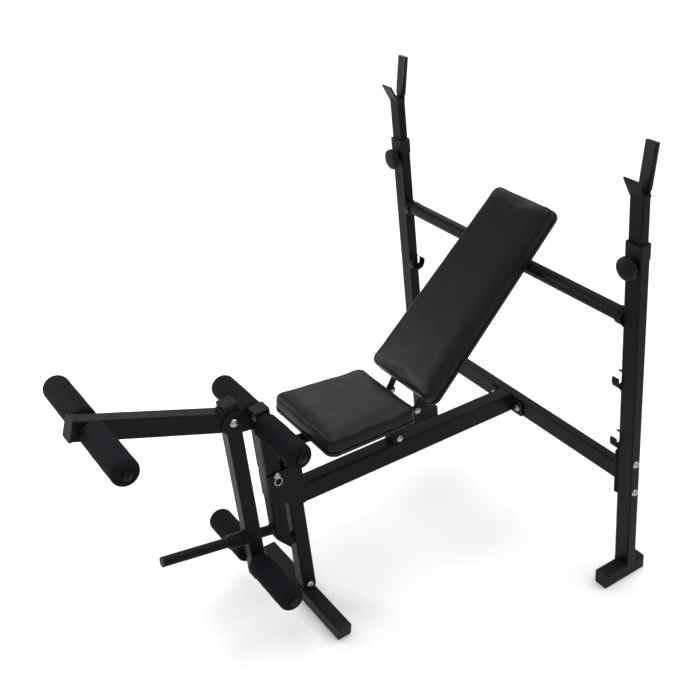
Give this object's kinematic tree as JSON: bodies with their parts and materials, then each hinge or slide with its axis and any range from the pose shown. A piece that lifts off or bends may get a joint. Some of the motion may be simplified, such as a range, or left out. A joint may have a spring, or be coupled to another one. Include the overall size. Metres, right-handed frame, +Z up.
{
  "type": "adjustable weight bench",
  "caption": "Adjustable bench with padded seat and backrest, telescoping barbell rack and a leg lever with foam rollers and a weight peg.",
  "frame": {"origin": "on the floor, under the middle of the bench's outline", "axes": "+Z up, +Y from the leg lever towards the barbell rack, +X to the right for someone looking along +Y"},
  "size_m": [0.938, 1.2564, 1.1574],
  "materials": {
    "frame_paint": "satin black powder coat",
    "plastic": "matt black moulded plastic",
    "knob_plastic": "matt charcoal moulded plastic",
    "vinyl": "soft-sheen leatherette vinyl over foam",
    "foam": "matt closed-cell foam",
    "zinc": "bright zinc plate",
    "board": "raw plywood",
    "bush_plastic": "natural nylon"
  },
  "bodies": {
    "frame": {"left_upright": "frame_paint", "right_upright": "frame_paint", "left_rear_foot": "frame_paint", "right_rear_foot": "frame_paint", "rear_foot_caps": "plastic", "left_saddles": "frame_paint", "right_saddles": "frame_paint", "left_collar": "plastic", "right_collar": "plastic", "cross_member": "frame_paint", "cross_bolts": "zinc", "beam_bolts": "zinc", "main_beam": "frame_paint", "front_leg": "frame_paint", "front_foot": "frame_paint", "front_foot_caps": "plastic", "leg_bolt": "zinc", "gusset_plates": "frame_paint", "post_spacer": "plastic", "developer_post": "frame_paint", "post_cap": "plastic", "pivot_plates": "frame_paint", "pivot_bolt": "zinc", "stop_pad": "plastic", "roller_rods": "frame_paint", "seat_pad": "vinyl", "seat_frame": "frame_paint", "seat_bracket": "frame_paint", "seat_bolt": "zinc", "hinge_bolts": "zinc"},
    "left_slide": {"left_slide_tube": "frame_paint", "left_cradle": "frame_paint", "left_cradle_guard": "plastic"},
    "right_slide": {"right_slide_tube": "frame_paint", "right_cradle": "frame_paint", "right_cradle_guard": "plastic"},
    "left_clamp": {"left_knob": "knob_plastic", "left_knob_screw": "zinc"},
    "right_clamp": {"right_knob": "knob_plastic", "right_knob_screw": "zinc"},
    "lock_pin": {"lock_pin": "zinc"},
    "lever": {"pivot_bush": "bush_plastic", "lever_post": "frame_paint", "lever_cap": "plastic", "lever_arm": "frame_paint", "arm_cap": "plastic", "weight_peg": "frame_paint", "peg_cap": "plastic", "lever_rods": "frame_paint"},
    "bar": {"support_bar": "frame_paint"},
    "backrest": {"back_pad": "vinyl", "back_board": "board", "back_frame": "frame_paint", "back_screws": "zinc"},
    "knee_roller_left": {"knee_foam_left": "foam"},
    "knee_roller_right": {"knee_foam_right": "foam"},
    "arm_roller_left": {"arm_foam_left": "foam"},
    "arm_roller_right": {"arm_foam_right": "foam"},
    "ankle_roller_left": {"ankle_foam_left": "foam"},
    "ankle_roller_right": {"ankle_foam_right": "foam"}
  },
  "joints": [
    {"name": "left_rack_height", "type": "slide", "parent": "frame", "child": "left_slide", "axis": [0, 0, 1], "range_m": [-0.1, 0.1]},
    {"name": "right_rack_height", "type": "slide", "parent": "frame", "child": "right_slide", "axis": [0, 0, 1], "range_m": [-0.1, 0.1]},
    {"name": "left_knob_turn", "type": "hinge", "parent": "frame", "child": "left_clamp", "pos_m": [-0.44, 0.523, 0.886], "axis": [0, -1, 0], "continuous": true},
    {"name": "right_knob_turn", "type": "hinge", "parent": "frame", "child": "right_clamp", "pos_m": [0.44, 0.523, 0.886], "axis": [0, -1, 0], "continuous": true},
    {"name": "lock_pin_pull", "type": "slide", "parent": "frame", "child": "lock_pin", "axis": [1, 0, 0], "range_m": [0, 0.052]},
    {"name": "lever_swing", "type": "hinge", "parent": "frame", "child": "lever", "pos_m": [0, -0.26, 0.618], "axis": [-1, 0, 0], "range_deg": [0, 85]},
    {"name": "bar_turn", "type": "hinge", "parent": "frame", "child": "bar", "pos_m": [0, 0.551, 0.744], "axis": [1, 0, 0], "continuous": true},
    {"name": "backrest_tilt", "type": "hinge", "parent": "frame", "child": "backrest", "pos_m": [0, 0.207, 0.459], "axis": [1, 0, 0], "range_deg": [0, 12]},
    {"name": "knee_roller_left_spin", "type": "hinge", "parent": "frame", "child": "knee_roller_left", "pos_m": [-0.113, -0.189, 0.583], "axis": [1, 0, 0], "continuous": true},
    {"name": "knee_roller_right_spin", "type": "hinge", "parent": "frame", "child": "knee_roller_right", "pos_m": [0.113, -0.189, 0.583], "axis": [1, 0, 0], "continuous": true},
    {"name": "arm_roller_left_spin", "type": "hinge", "parent": "lever", "child": "arm_roller_left", "pos_m": [-0.113, -0.57153, 0.74187], "axis": [1, 0, 0], "continuous": true},
    {"name": "arm_roller_right_spin", "type": "hinge", "parent": "lever", "child": "arm_roller_right", "pos_m": [0.113, -0.57153, 0.74187], "axis": [1, 0, 0], "continuous": true},
    {"name": "ankle_roller_left_spin", "type": "hinge", "parent": "lever", "child": "ankle_roller_left", "pos_m": [-0.113, -0.264, 0.204], "axis": [1, 0, 0], "continuous": true},
    {"name": "ankle_roller_right_spin", "type": "hinge", "parent": "lever", "child": "ankle_roller_right", "pos_m": [0.113, -0.264, 0.204], "axis": [1, 0, 0], "continuous": true}
  ]
}
